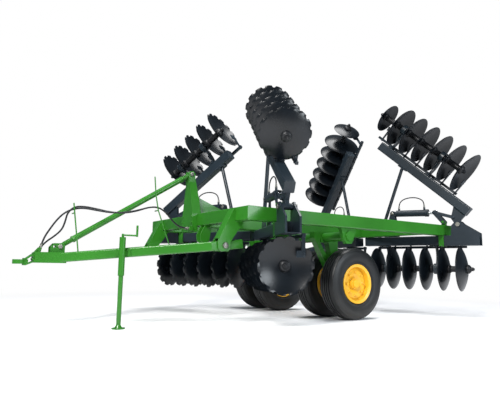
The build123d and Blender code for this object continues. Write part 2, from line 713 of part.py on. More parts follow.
def gang_beam(row):
    """A gang beam with the two cheek plates and the pin of the wing hinge at its outer end."""
    beam = tube_x(inner_u(row), -END_GAP, 0, GANG_MID, GANG_W, GANG_H)
    inner = GANG_W / 2
    low = GANG_LOW - 12
    outline = [(-CHEEK_IN, low), (-CHEEK_IN, FRAME_LOW - 1), (-95, FRAME_LOW - 1), (-90, HINGE_Z - 13),
               (-30, HINGE_Z + 48), (30, HINGE_Z + 48), (62, HINGE_Z + 12), (CHEEK_OUT, FRAME_LOW + 25),
               (CHEEK_OUT, low)]
    cheeks = both(inner, inner + CHEEK_T, lambda a, b: plate_uv(outline, a, b))
    reach = inner + CHEEK_T + 18
    pin = pin_y(0, HINGE_Z, PIN_R, -reach, reach)
    floor = box(-END_GAP - 1, CHEEK_OUT, -inner - CHEEK_T, inner + CHEEK_T, low, low + 7)
    return sum_of([beam, pin, floor] + cheeks + fold_stand(row))


def fold_stand(row):
    """What stands on a gang beam: the barrel's bracket and the prop that carries the wing."""
    u, v = BARREL_EYE
    z = HINGE_Z + v
    inner = EYE_T / 2 + EYE_GAP
    outline = [(u - 130, FRAME_LOW - 1), (u + 80, FRAME_LOW - 1), (u + 34, z - 20), (u + 22, z + 28),
               (u - 22, z + 28), (u - 36, z - 20)]
    plates = both(inner, inner + PLATE_T, lambda a, b: plate_uv(outline, a, b))
    pin = pin_y(u, z, ROCKER_PIN_R, -inner - PLATE_T - 8, inner + PLATE_T + 8)
    return plates + [pin, prop(row)]


def prop(row):
    """A leaning tube with a flat head that the folded wing beam lies on."""
    seat_v = FRAME_LOW - HINGE_Z + 0.3
    head_t = 16.0
    head_u, head_v = turned((PROP_STATION, seat_v + head_t / 2), row["fold"])
    top = turned((PROP_STATION, seat_v + head_t), row["fold"])
    foot = (PROP_FOOT_U, 0, FRAME_LOW - 4)
    stem = rod(foot, (top[0], 0, HINGE_Z + top[1]), PROP_R)
    trim = Location((head_u, 0, HINGE_Z + head_v), (0, -row["fold"], 0))
    head = trim * Box(130, GANG_W - 30, head_t)
    above = Location(tuple(Vector(*plane_point(row, seat_v - 100))), (0, -row["fold"], 0))
    cut = above * Box(400, 300, 200)
    return stem + head - cut


def plane_point(row, v):
    u, w = turned((PROP_STATION, v), row["fold"])
    return u, 0, HINGE_Z + w


def hanger(u, top):
    """A curved bearing standard under a gang beam, with the bearing housing at its foot."""
    bore = SPOOL_R + BEARING_CLEARANCE
    half = BEARING_W / 2
    side = HANGER_W / 2
    low = AXLE_Z + bore + 4
    middle = (low + top) / 2
    with BuildSketch(Plane(origin=(u - HANGER_T / 2, 0, 0), x_dir=(0, 1, 0), z_dir=(1, 0, 0))) as sketch:
        with BuildLine():
            ThreePointArc((side, low), (side + HANGER_BOW, middle), (side, top))
            Line((side, top), (-side, top))
            ThreePointArc((-side, top), (-side + HANGER_BOW, middle), (-side, low))
            Line((-side, low), (side, low))
        make_face()
    standard = extrude(sketch.sketch, HANGER_T)
    foot = box(u - half, u + half, -GANG_W / 2 + 5, GANG_W / 2 - 5, top - PLATE_T, top)
    housing = pin_x(u, 0, AXLE_Z, BEARING_R, BEARING_W)
    return housing + standard + foot - pin_x(u, 0, AXLE_Z, bore, BEARING_W + 4)


def disc_profile(outer_r):
    """Half the section of a dished disc: hub plane at x = 0, rim at x = depth."""
    depth = DISC_DEPTH * (outer_r / DISC_R) ** 2
    ball = (outer_r ** 2 + depth ** 2) / (2 * depth)

    def dish(r):
        return ball - sqrt(ball ** 2 - r ** 2)

    middle = (DISC_FLAT_R + outer_r) / 2
    start = dish(DISC_FLAT_R)
    points = [(dish(r) - start, r) for r in (DISC_FLAT_R, middle, outer_r)]
    return points


def disc(outer_r, facing, notched):
    """A dished disc on the X axis whose hollow side faces +X when facing is 1."""
    (x0, r0), (x1, r1), (x2, r2) = disc_profile(outer_r)
    with BuildSketch(Plane.XY) as sketch:
        with BuildLine():
            Line((0, 10), (0, r0))
            ThreePointArc((x0, r0), (x1, r1), (x2, r2))
            Line((x2, r2), (x2 + DISC_T, r2))
            ThreePointArc((x2 + DISC_T, r2), (x1 + DISC_T, r1), (x0 + DISC_T, r0))
            Line((x0 + DISC_T, r0), (DISC_T, 10))
            Line((DISC_T, 10), (0, 10))
        make_face()
    shape = revolve(sketch.sketch, Axis.X)
    if notched:
        cut = Cylinder(NOTCH_R, 4 * DISC_DEPTH)
        for k in range(NOTCHES):
            turn = 360 / NOTCHES * k
            shape = shape - Rot(turn, 0, 0) * Pos(0, outer_r + 4, 0) * Rot(0, 90, 0) * cut
    return shape if facing > 0 else mirror(shape, about=Plane.YZ)


def disc_gang(rims, row, end_disc_r):
    """A square axle with its discs, whose rims stand at these places, and the spools between."""
    facing = facing_of(row)
    depth = DISC_DEPTH
    low = min(rims) - facing * depth - 90
    high = max(rims) - facing * depth + 90
    axle = box(low, high, -AXLE_HALF, AXLE_HALF, -AXLE_HALF, AXLE_HALF)
    pieces = [axle]
    hubs = sorted(r - facing * depth for r in rims)
    for a, b in zip(hubs, hubs[1:]):
        pieces.append(spool(a, b))
    for end, way in ((hubs[0], -1), (hubs[-1], 1)):
        pieces.append(Pos(end + way * 24, 0, 0) * Rot(0, 90, 0) * Cylinder(SPOOL_FLANGE_R, 40))
        pieces.append(Pos(end + way * 60, 0, 0) * Rot(0, 90, 0) * Cylinder(30, 34))
    for rim_u in rims:
        r = end_disc_r if rim_u == rims[-1] else DISC_R
        shape = disc(r, facing, row["notched"])
        pieces.append(Pos(rim_u - facing * depth, 0, 0) * shape)
    return Pos(0, 0, AXLE_Z) * sum_of(pieces)


def spool(a, b):
    """A waisted spool between two discs, as one turned section."""
    with BuildSketch(Plane.XY) as sketch:
        with BuildLine():
            Polyline((a, 5), (a, SPOOL_FLANGE_R), (a + 16, SPOOL_FLANGE_R), (a + 34, SPOOL_R),
                     (b - 34, SPOOL_R), (b - 16, SPOOL_FLANGE_R), (b, SPOOL_FLANGE_R), (b, 5), close=True)
        make_face()
    return revolve(sketch.sketch, Axis.X)


def facing_of(row):
    """Front discs throw soil outward and rear discs inward."""
    return 1 if row["lean"] < 0 else -1


def wing_beam(row):
    """The wing's beam with its hinge ear, its two bearing hangers and its closed ends."""
    hangers_at = wing_hangers_at(row)
    end = hangers_at[-1] + row["beam_past"]
    beam = tube_x(END_GAP, end, 0, GANG_MID, GANG_W - 2 * SIDE_CLEARANCE, GANG_H)
    u, v = WING_LUG
    z = HINGE_Z
    ear = plate_uv([(-10, z - 36), (-36, z - 10), (-36, z + 10), (-10, z + 36), (14, z + 36),
                    (u, z + v + 34), (u + 30, z + v + 18), (u + 38, z + v - 20), (u + 90, FRAME_LOW - 1),
                    (END_GAP + 6, FRAME_LOW - 1), (END_GAP + 6, z - 60)],
                   -EYE_T / 2, EYE_T / 2)
    boss_half = GANG_W / 2 - SIDE_CLEARANCE
    boss = pin_y(0, z, PIN_R + 13, -boss_half, boss_half)
    bore = pin_y(0, z, PIN_R + PIN_CLEARANCE, -GANG_W, GANG_W)
    reach = link_inner() + PLATE_T + 6
    link_pin = pin_y(u, z + v, ROCKER_PIN_R, -reach, reach)
    hangers = [hanger(at, GANG_LOW) for at in hangers_at]
    return sum_of([beam, ear, boss, link_pin] + hangers) - bore


def wing_hangers_at(row):
    return [hanger_u(row["first"], step, row) for step in row["wing_hangers"]]


def scrapers(rims, row, hangers_at):
    """A scraper bar behind the discs, with an arm and a blade at each disc's hollow side."""
    facing = facing_of(row)
    half = SCRAPER_BAR / 2
    back = SCRAPER_BACK
    z_bar = GANG_LOW - half - 2
    pieces = [box(min(rims) - SCRAPER_END, max(rims) + SCRAPER_END, back - half, back + half,
                  z_bar - half, z_bar + half)]
    grip = SCRAPER_BRACKET_W / 2
    for hanger_at in hangers_at:
        u = hanger_at + facing * SCRAPER_BRACKET_SHIFT
        pieces.append(box(u - grip, u + grip, 10, back + half, GANG_LOW - 12, GANG_LOW))
    for rim_u in rims:
        near = rim_u + facing * (DISC_T + SCRAPER_GAP)
        far = near + facing * SCRAPER_T
        low_u, high_u = min(near, far), max(near, far)
        pieces.append(box(low_u, high_u, back - 20, back + 20, AXLE_Z + 150, z_bar + half + 8))
        pieces.append(box(low_u, high_u, back - 75, back + 20, AXLE_Z + 90, AXLE_Z + 160))
    return sum_of(pieces)


def centre_rims():
    return [CENTRE_FIRST_U - k * DISC_PITCH for k in range(CENTRE_DISCS)]


def wing_rims(row):
    return [row["first"] + k * DISC_PITCH for k in range(row["wing_discs"])]


def hanger_u(first, step, row):
    """A hanger's place, midway between the rims of two discs and a little to their backs."""
    return first + step * DISC_PITCH - facing_of(row) * DISC_DEPTH / 2


# Wheels and the transport axle

def tyre():
    """An implement tyre: one turned section of bead, bulging walls and tread."""
    half = TYRE_W / 2
    bead = RIM_R - 2
    bulge = (bead + TYRE_R) / 2 + 30
    right = [(RIM_W / 2 - 14, bead), (half, bulge), (half - 34, TYRE_R)]
    left = [(-x, r) for x, r in reversed(right)]
    with BuildSketch(Plane.XY) as sketch:
        with BuildLine():
            Polyline(*right, *left, close=True)
        make_face()
    return revolve(sketch.sketch, Axis.X)


def rim():
    """A dished rim: well, flanges, disc face and hub in one turned section, hub cap outward."""
    half = RIM_W / 2
    hub = HUB_LENGTH / 2
    outer = RIM_R - 2.4
    bore = SPINDLE_R + 0.05
    points = [(-hub, bore), (-hub, HUB_R), (20, HUB_R), (48, 120), (48, 168), (30, 190),
              (-half + 4, outer - 22), (-half - 6, RIM_R + 10), (-half + 2, RIM_R + 10),
              (-half + 14, outer), (half - 14, outer), (half - 2, RIM_R + 10), (half + 6, RIM_R + 10),
              (half - 4, outer - 22), (46, 196), (60, 172), (60, 116), (34, HUB_R), (hub - 24, HUB_R - 8),
              (hub - 24, 52), (hub, 46), (hub, 0), (hub - 16, 0), (hub - 16, bore)]
    with BuildSketch(Plane.XY) as sketch:
        with BuildLine():
            Polyline(*points, close=True)
        make_face()
    return revolve(sketch.sketch, Axis.X)


def wheel_axle():
    """The rockshaft under the frame with its two wheel arms, spindles and the lift lever."""
    reach = SIDE_X + 45
    shaft = rod((-reach, ROCKSHAFT_Y, ROCKSHAFT_Z), (reach, ROCKSHAFT_Y, ROCKSHAFT_Z), ROCKSHAFT_R)
    pieces = [shaft]
    y, z = ROCKSHAFT_Y, ROCKSHAFT_Z
    front_leg = [(y - 180, z + 62), (y - 60, z + 62), (y - 92, z - 60), (-150, TYRE_R + 230),
                 (-20, TYRE_R + 30), (-95, TYRE_R + 30), (y - 5, TYRE_R + 260), (y - 180, z - 10)]
    rear_leg = [(y - 70, z + 62), (y + 200, z + 62), (y + 215, z - 30), (-36, TYRE_R + 260),
                (95, TYRE_R + 60), (70, TYRE_R - 55), (-60, TYRE_R - 62), (-95, TYRE_R + 40),
                (-118, TYRE_R + 230), (y + 60, z - 66), (y - 70, z - 66)]
    spindle_reach = WHEEL_OUT_X + HUB_LENGTH / 2 - 17
    shoulder_half = WHEEL_OUT_X - ARM_X - HUB_LENGTH / 2 - SIDE_CLEARANCE
    for side in (1, -1):
        legs = [plate_yz(leg, ARM_X - ARM_W / 2, ARM_X + ARM_W / 2) for leg in (front_leg, rear_leg)]
        spindle = pin_x(ARM_X, 0, TYRE_R, SPINDLE_R, 2 * (spindle_reach - ARM_X))
        shoulder = pin_x(ARM_X, 0, TYRE_R, SPINDLE_R + 16, 2 * shoulder_half)
        pieces.append(on_side(sum_of(legs) + spindle + shoulder, side))
    tip_y, tip_z = lift_tip()
    gap = EYE_T / 2 + EYE_GAP
    lever = [(y - 70, z), (tip_y - 34, tip_z - 6), (tip_y, tip_z - 36), (tip_y + 34, tip_z - 6), (y + 70, z)]
    for x0, head_x in ((gap, gap + PLATE_T + 5), (-gap - PLATE_T, -gap - PLATE_T - 5)):
        pieces.append(plate_yz(lever, x0, x0 + PLATE_T))
        pieces.append(pin_x(head_x, tip_y, tip_z, ROCKER_PIN_R, 14))
    return sum_of(pieces)


def lift_tip():
    return ROCKSHAFT_Y, ROCKSHAFT_Z - LEVER_LENGTH


def cylinder_pieces(base, tip, barrel_r, rod_r, barrel_length, rod_start):
    """A barrel with its eye on base and a rod with a solid eye at tip, drawn in the X-Z plane."""
    run = Vector(tip[0] - base[0], 0, tip[1] - base[1])
    way = run.normalized()
    foot = Vector(base[0], 0, base[1])
    end = Vector(tip[0], 0, tip[1])
    barrel_end = foot + way * barrel_length
    head = foot + way * 52
    barrel = rod(tuple(head), tuple(barrel_end), barrel_r)
    cap = rod(tuple(barrel_end - way * 40), tuple(barrel_end + way * 8), barrel_r + 6)
    eye = pin_y(base[0], base[1], EYE_R, -EYE_T / 2, EYE_T / 2)
    neck = rod(tuple(foot + way * 20), tuple(head + way * 2), EYE_T / 2)
    hole = pin_y(base[0], base[1], ROCKER_PIN_R + PIN_CLEARANCE, -EYE_T, EYE_T)
    inside = rod(tuple(foot + way * 80), tuple(barrel_end + way * 30), rod_r + ROD_CLEARANCE)
    body = barrel + cap + eye + neck - hole - inside
    stem = rod(tuple(foot + way * rod_start), tuple(end - way * 20), rod_r)
    return body, stem + pin_y(tip[0], tip[1], EYE_R - 4, -EYE_T / 2, EYE_T / 2)


def rocker():
    """Two plates on the frame's pin, one each side of the rod's eye, with a pin head on each."""
    low = (ROCKER_PIVOT[0], HINGE_Z + ROCKER_PIVOT[1])
    high = (ROD_EYE_FOLDED[0], HINGE_Z + ROD_EYE_FOLDED[1])
    hole = ROCKER_PIN_R + PIN_CLEARANCE
    inner, outer = rocker_inner(), rocker_outer()
    plates = both(inner, outer, lambda a, b: strap(low, high, LINK_W + 14, a, b, hole, 0))
    heads = both(outer - 2, outer + 8, lambda a, b: pin_y(*high, ROCKER_PIN_R, a, b))
    return [plate + head for plate, head in zip(plates, heads)]


def link(row):
    """Two plates from the rod's eye to the wing's lug, tied by a spacer clear of both."""
    lug = turned(WING_LUG, row["fold"])
    low = (ROD_EYE_FOLDED[0], HINGE_Z + ROD_EYE_FOLDED[1])
    high = (lug[0], HINGE_Z + lug[1])
    hole = ROCKER_PIN_R + PIN_CLEARANCE
    plates = both(link_inner(), link_inner() + PLATE_T,
                  lambda a, b: strap(low, high, LINK_W, a, b, 0, hole))
    middle = ((low[0] + high[0]) / 2, (low[1] + high[1]) / 2)
    spacer = pin_y(middle[0], middle[1], 11, -link_inner(), link_inner())
    return sum_of(plates + [spacer])


def save_frame():
    save("front_cross_beam", front_cross_beam())
    beam = side_beam()
    save("side_beams", beam, on_side(beam, -1))
    save("inner_beams", inner_beams())
    save("mast", mast())
    save("levelling_strut", levelling_strut())
    save("drawbar", drawbar())
    save("hitch_tongue", hitch_tongue())
    save("jack_tube", jack_tube())
    save("jack_leg", jack_leg())
    save("hose_guide", *hose_guide())
    for side_name in SIDES:
        save(f"{side_name}_long_hose", long_hose(side_name))


def save_axle():
    save("wheel_axle", wheel_axle())
    barrel, stem = cylinder_pieces(LIFT_BASE, lift_tip(), LIFT_BARREL_R, LIFT_ROD_R,
                                   LIFT_BARREL_LENGTH, LIFT_ROD_START)
    save("lift_barrel", Rot(0, 0, 90) * barrel)
    save("lift_rod", Rot(0, 0, 90) * stem)
    for side_name, side in SIDES.items():
        for place_name, x, out in (("outer", WHEEL_OUT_X, 1), ("inner", WHEEL_IN_X, -1)):
            for piece_name, piece in (("tyre", tyre()), ("rim", rim())):
                turned_piece = on_side(piece, out)
                save(f"{side_name}_{place_name}_{piece_name}",
                     on_side(Pos(x, 0, TYRE_R) * turned_piece, side))


def save_gangs():
    hangers = []
    scraper_bars = []
    for row_name, row in ROWS.items():
        beam = place(gang_beam(row), row)
        save(f"{row_name}_gang_beams", beam, on_side(beam, -1))
        rims = centre_rims()
        hangers_at = [hanger_u(CENTRE_FIRST_U, -step, row) for step in CENTRE_HANGERS]
        for at in hangers_at:
            piece = place(hanger(at, GANG_LOW), row)
            hangers += [piece, on_side(piece, -1)]
        bars = place(scrapers(rims, row, hangers_at), row)
        scraper_bars += [bars, on_side(bars, -1)]
        gang = place(disc_gang(rims, row, DISC_R), row)
        for side_name, side in SIDES.items():
            save(f"{row_name}_{side_name}_centre_discs", on_side(gang, side))
    save("gang_hangers", *hangers)
    save("gang_scrapers", *scraper_bars)


def save_wings():
    for row_name, row in ROWS.items():
        rims = wing_rims(row)
        base = (BARREL_EYE[0], HINGE_Z + BARREL_EYE[1])
        tip = (ROD_EYE_FOLDED[0], HINGE_Z + ROD_EYE_FOLDED[1])
        barrel, stem = cylinder_pieces(base, tip, FOLD_BARREL_R, FOLD_ROD_R,
                                       FOLD_BARREL_LENGTH, FOLD_ROD_START)
        wing = wing_beam(row) + scrapers(rims, row, wing_hangers_at(row))
        pieces = {
            "wing_beam": [folded(wing, row)],
            "wing_discs": [folded(disc_gang(rims, row, row["end_disc_r"]), row)],
            "fold_barrel": [barrel + barrel_ports()],
            "fold_rod": [stem],
            "fold_rocker": rocker(),
            "fold_link": [link(row)],
            "fold_hose": [loop_hose()],
        }
        for piece_name, shapes in pieces.items():
            placed = [place(shape, row) for shape in shapes]
            for side_name, side in SIDES.items():
                save(f"{row_name}_{side_name}_{piece_name}", *[on_side(shape, side) for shape in placed])


def main():
    os.makedirs("parts", exist_ok=True)
    save_frame()
    save_axle()
    save_gangs()
    save_wings()


main()
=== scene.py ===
"""Looks of a folding tandem disc harrow: finishes, tyres, discs, hoses, bolts, floor and lamps."""
import json
from math import asin, cos, pi, radians, sin, sqrt

import bmesh
import bpy
from mathutils import Matrix, Vector

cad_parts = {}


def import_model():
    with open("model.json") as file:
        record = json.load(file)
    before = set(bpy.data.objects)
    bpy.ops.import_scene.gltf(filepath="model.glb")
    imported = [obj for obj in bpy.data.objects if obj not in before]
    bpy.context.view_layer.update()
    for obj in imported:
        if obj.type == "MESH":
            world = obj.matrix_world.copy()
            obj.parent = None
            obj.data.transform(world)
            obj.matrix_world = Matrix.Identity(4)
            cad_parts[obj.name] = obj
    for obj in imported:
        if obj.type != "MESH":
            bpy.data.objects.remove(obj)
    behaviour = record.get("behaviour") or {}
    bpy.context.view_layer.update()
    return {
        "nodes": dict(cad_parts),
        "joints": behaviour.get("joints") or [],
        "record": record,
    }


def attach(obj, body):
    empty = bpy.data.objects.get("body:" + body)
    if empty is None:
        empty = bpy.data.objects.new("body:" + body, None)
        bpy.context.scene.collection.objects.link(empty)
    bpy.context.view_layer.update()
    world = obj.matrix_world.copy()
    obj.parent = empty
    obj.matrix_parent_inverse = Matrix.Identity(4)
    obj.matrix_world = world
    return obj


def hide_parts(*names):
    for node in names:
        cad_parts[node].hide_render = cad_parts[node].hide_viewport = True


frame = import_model()
joints = {j["name"]: j for j in frame["joints"]}

# Sizes in metres that the solids have too
TYRE_R = 0.440
TYRE_W = 0.250
RIM_R = 0.230
NUT_CIRCLE_R = 0.142
NUT_SEAT_X = 0.059
CAP_CIRCLE_R = 0.057
CAP_SEAT_X = 0.070
DISC_R = 0.305
END_DISC_R = 0.225
DISC_DEPTH = 0.080
DISC_T = 0.007
DISC_PITCH = 0.240
CENTRE_DISCS = 6
CENTRE_FIRST_U = -0.005
DISC_FLAT_R = 0.070
NOTCHES = 14
NOTCH_R = 0.026
NOTCH_OUT = 0.004
SPOOL_R = 0.042
SPOOL_FLANGE_R = 0.062
AXLE_HALF = 0.017
GANG_AXLE_Z = 0.640
HANGER_FOOT_Z = 0.961
CLAMP_LOW_Z = 0.9607

# The grooves between the tyre's ribs, each from x to x
GROOVES = ((-0.062, -0.050), (-0.022, -0.010), (0.010, 0.022), (0.050, 0.062))
GROOVE_DEPTH = 0.012

# One row for each gang: side by side with its spin joint, how far out its first and last disc are
# in pitches from the joint, whether it throws outward, its notches and its last disc's radius
GANGS = {}
for side in ("left", "right"):
    GANGS[f"front_{side}_centre"] = dict(first=2, last=-3, facing=1, notched=True, end_r=DISC_R)
    GANGS[f"rear_{side}_centre"] = dict(first=2, last=-3, facing=-1, notched=False, end_r=DISC_R)
    GANGS[f"front_{side}_wing"] = dict(first=-2, last=2, facing=1, notched=True, end_r=DISC_R)
    GANGS[f"rear_{side}_wing"] = dict(first=-2, last=4, facing=-1, notched=False, end_r=END_DISC_R)

WHEELS = [f"{side}_{place}" for side in ("left", "right") for place in ("outer", "inner")]


class Growth:
    """Vertices and faces that grow into one object."""

    def __init__(self):
        self.verts = []
        self.faces = []
        self.values = []

    def add(self, verts, faces, place, values):
        """Takes in points, faces that number them from 0 and, if given, a value for each point."""
        first = len(self.verts)
        self.verts += [place @ Vector(v) for v in verts]
        self.faces += [tuple(first + i for i in face) for face in faces]
        self.values += values or [0.0] * len(verts)

    def rings(self, rings, place, closed=True, values=None):
        """Skins a run of equal rings of points; closed joins the last ring to the first."""
        count = len(rings[0])
        verts = [v for ring in rings for v in ring]
        faces = []
        pairs = len(rings) if closed else len(rings) - 1
        for i in range(pairs):
            a, b = i * count, (i + 1) % len(rings) * count
            for j in range(count):
                k = (j + 1) % count
                faces.append((a + j, a + k, b + k, b + j))
        if not closed:
            faces.append(tuple(range(count))[::-1])
            faces.append(tuple(range(len(verts) - count, len(verts))))
        self.add(verts, faces, place, values)

    def lathe(self, profile, count, place):
        """A closed outline of (x, r) turned about the X axis of place."""
        rings = []
        for k in range(count):
            a = 2 * pi * k / count
            rings.append([(x, r * cos(a), r * sin(a)) for x, r in profile])
        self.rings(rings, place, closed=True, values=[r for _ in range(count) for _, r in profile])

    def stack(self, profile, sides, place):
        """A solid of regular polygons, one for each (x, r), closed at both ends."""
        angles = [2 * pi * k / sides for k in range(sides)]
        rings = [[(x, r * cos(a), r * sin(a)) for a in angles] for x, r in profile]
        self.rings(rings, place, closed=False)

    def make(self, name, material, sharp=35.0):
        """Makes the object, smooth but for edges that turn by sharp degrees or more."""
        mesh = bpy.data.meshes.new(name)
        mesh.from_pydata(self.verts, [], self.faces)
        ring = mesh.attributes.new("ring", "FLOAT", "POINT")
        ring.data.foreach_set("value", self.values)
        work = bmesh.new()
        work.from_mesh(mesh)
        bmesh.ops.recalc_face_normals(work, faces=work.faces)
        limit = radians(sharp)
        for face in work.faces:
            face.smooth = True
        for edge in work.edges:
            edge.smooth = edge.calc_face_angle(0.0) < limit
        work.to_mesh(mesh)
        work.free()
        mesh.materials.append(material)
        piece = bpy.data.objects.new(name, mesh)
        bpy.context.scene.collection.objects.link(piece)
        return piece


def frame_on(origin, along):
    """A place whose X runs along, with Z as near to upright as it can be."""
    x = Vector(along).normalized()
    y = Vector((0, 0, 1)).cross(x)
    if y.length < 0.05:
        y = Vector((0, 1, 0)).cross(x)
    y.normalize()
    place = Matrix((x, y, x.cross(y))).transposed().to_4x4()
    place.translation = origin
    return place


# Materials

def link(tree, out, into):
    """Joins one node's output to another's input."""
    tree.links.new(out, into)


def surface(name, colour, rough, metallic=0.0, coat=0.0, vary=0.10, patch=1.6, soften=0.002,
            grain=0.0, grain_size=140.0, edge_highlight=None, dust=0.0, shine=0.28):
    """A finish with lighter and darker patches, soft edges and, if asked, a painted highlight along
    the edges, and dust.
    """
    mat = bpy.data.materials.new(name)
    mat.use_nodes = True
    tree = mat.node_tree
    shader = tree.nodes["Principled BSDF"]
    shader.inputs["Specular IOR Level"].default_value = shine
    shader.inputs["Metallic"].default_value = metallic
    shader.inputs["Coat Weight"].default_value = coat
    shader.inputs["Coat Roughness"].default_value = 0.18
    coords = tree.nodes.new("ShaderNodeTexCoord")
    cloud = tree.nodes.new("ShaderNodeTexNoise")
    cloud.inputs["Scale"].default_value = patch
    cloud.inputs["Detail"].default_value = 6.0
    link(tree, coords.outputs["Object"], cloud.inputs["Vector"])
    tint = tree.nodes.new("ShaderNodeValToRGB")
    tint.color_ramp.elements[0].position = 0.3
    tint.color_ramp.elements[1].position = 0.72
    tint.color_ramp.elements[0].color = [c * (1 - vary) for c in colour] + [1]
    tint.color_ramp.elements[1].color = [min(1, c * (1 + vary)) for c in colour] + [1]
    link(tree, cloud.outputs["Fac"], tint.inputs["Fac"])
    colour_out = tint.outputs["Color"]
    gloss = tree.nodes.new("ShaderNodeMapRange")
    gloss.inputs["To Min"].default_value = rough * 0.85
    gloss.inputs["To Max"].default_value = min(1, rough * 1.2)
    link(tree, cloud.outputs["Fac"], gloss.inputs["Value"])
    link(tree, gloss.outputs["Result"], shader.inputs["Roughness"])
    soft = tree.nodes.new("ShaderNodeBevel")
    soft.samples = 4
    soft.inputs["Radius"].default_value = soften
    normal_out = soft.outputs["Normal"]
    # Painted highlight: a lighter tint of the paint is mixed in along every edge
    if edge_highlight:
        colour_out = painted_edge_highlight(tree, soft, colour_out, edge_highlight)
    if dust:
        colour_out = dusty(tree, coords, colour_out, dust)
    link(tree, colour_out, shader.inputs["Base Color"])
    if grain:
        fine = tree.nodes.new("ShaderNodeTexNoise")
        fine.inputs["Scale"].default_value = grain_size
        fine.inputs["Detail"].default_value = 3.0
        link(tree, coords.outputs["Object"], fine.inputs["Vector"])
        bump = tree.nodes.new("ShaderNodeBump")
        bump.inputs["Strength"].default_value = grain
        bump.inputs["Distance"].default_value = 0.001
        link(tree, fine.outputs["Fac"], bump.inputs["Height"])
        link(tree, normal_out, bump.inputs["Normal"])
        normal_out = bump.outputs["Normal"]
    link(tree, normal_out, shader.inputs["Normal"])
    return mat


def painted_edge_highlight(tree, soft, colour_out, edge_highlight):
    """A painted highlight: lighter colour where the rounded normal leaves the true one, which is at
    the edges.
    """
    geometry = tree.nodes.new("ShaderNodeNewGeometry")
    dot = tree.nodes.new("ShaderNodeVectorMath")
    dot.operation = "DOT_PRODUCT"
    link(tree, soft.outputs["Normal"], dot.inputs[0])
    link(tree, geometry.outputs["Normal"], dot.inputs[1])
    edge = tree.nodes.new("ShaderNodeMapRange")
    edge.inputs["From Min"].default_value = 0.97
    edge.inputs["From Max"].default_value = 0.85
    link(tree, dot.outputs["Value"], edge.inputs["Value"])
    mix = tree.nodes.new("ShaderNodeMix")
    mix.data_type = "RGBA"
    mix.inputs["B"].default_value = (*edge_highlight, 1)
    link(tree, edge.outputs["Result"], mix.inputs["Factor"])
    link(tree, colour_out, mix.inputs["A"])
    return mix.outputs["Result"]


def dusty(tree, coords, colour_out, dust):
    """A little pale dust that thins out upward from the floor."""
    split = tree.nodes.new("ShaderNodeSeparateXYZ")
    link(tree, coords.outputs["Object"], split.inputs["Vector"])
    height = tree.nodes.new("ShaderNodeMapRange")
    height.inputs["From Min"].default_value = 0.0
    height.inputs["From Max"].default_value = 0.35
    height.inputs["To Min"].default_value = dust
    height.inputs["To Max"].default_value = 0.0
    link(tree, split.outputs["Z"], height.inputs["Value"])
    mix = tree.nodes.new("ShaderNodeMix")
    mix.data_type = "RGBA"
    mix.inputs["B"].default_value = (0.30, 0.27, 0.22, 1)
    link(tree, height.outputs["Result"], mix.inputs["Factor"])
    link(tree, colour_out, mix.inputs["A"])
    return mix.outputs["Result"]


def disc_finish():
    """Dark rolled steel whose tone changes in fine rings about the disc's centre."""
    mat = surface("disc_steel", (0.0025, 0.004, 0.006), 0.28, vary=0.40, patch=3.0, soften=0.0012,
                  shine=0.33)
    tree = mat.node_tree
    shader = tree.nodes["Principled BSDF"]
    ring = tree.nodes.new("ShaderNodeAttribute")
    ring.attribute_name = "ring"
    lines = tree.nodes.new("ShaderNodeTexNoise")
    lines.noise_dimensions = "1D"
    lines.inputs["Scale"].default_value = 160.0
    lines.inputs["Detail"].default_value = 4.0
    link(tree, ring.outputs["Fac"], lines.inputs["W"])
    before = shader.inputs["Base Color"].links[0].from_socket
    tone = tree.nodes.new("ShaderNodeMapRange")
    tone.inputs["To Min"].default_value = 0.75
    tone.inputs["To Max"].default_value = 1.35
    link(tree, lines.outputs["Fac"], tone.inputs["Value"])
    scale = tree.nodes.new("ShaderNodeVectorMath")
    scale.operation = "SCALE"
    link(tree, before, scale.inputs[0])
    link(tree, tone.outputs["Result"], scale.inputs["Scale"])
    link(tree, scale.outputs["Vector"], shader.inputs["Base Color"])
    return mat


# The last colour given to each paint below is a painted highlight, a lighter tint of that paint
# along its edges
GREEN = surface("green_paint", (0.018, 0.130, 0.009), 0.30, coat=0.22, vary=0.12,
                edge_highlight=(0.040, 0.20, 0.022))
DARK = surface("dark_paint", (0.011, 0.018, 0.025), 0.36, coat=0.12, vary=0.22,
               edge_highlight=(0.040, 0.058, 0.075))
YELLOW = surface("rim_yellow", (0.70, 0.37, 0.018), 0.34, coat=0.25, vary=0.10,
                 edge_highlight=(0.75, 0.45, 0.09), dust=0.12)
RUBBER = surface("tyre_rubber", (0.004, 0.005, 0.006), 0.44, vary=0.30, patch=4.0, grain=0.25,
                 dust=0.04, shine=0.35)
HOSE = surface("hose_rubber", (0.008, 0.009, 0.011), 0.42, vary=0.15, patch=8.0, grain=0.2,
               grain_size=400.0)
CHROME = surface("rod_chrome", (0.75, 0.76, 0.78), 0.12, metallic=1.0, vary=0.03)
ZINC = surface("zinc", (0.22, 0.22, 0.20), 0.38, metallic=0.9, vary=0.15, patch=20.0)
BLACK = surface("black_steel", (0.011, 0.012, 0.014), 0.42, metallic=0.2, vary=0.2, patch=6.0)
DISC = disc_finish()

SLOT_FINISH = {"green_paint": GREEN, "dark_paint": DARK, "disc_steel": DISC, "tyre": RUBBER,
               "rim_yellow": YELLOW, "rod_chrome": CHROME, "hose_rubber": HOSE}


def dress_nodes():
    """Every solid gets the finish of its slot in the record."""
    slot_of = {s["node"]: s["material_slot"] for s in frame["record"]["subparts"]}
    for name, node in frame["nodes"].items():
        node.data.materials.clear()
        node.data.materials.append(SLOT_FINISH[slot_of[name]])


# Wheels

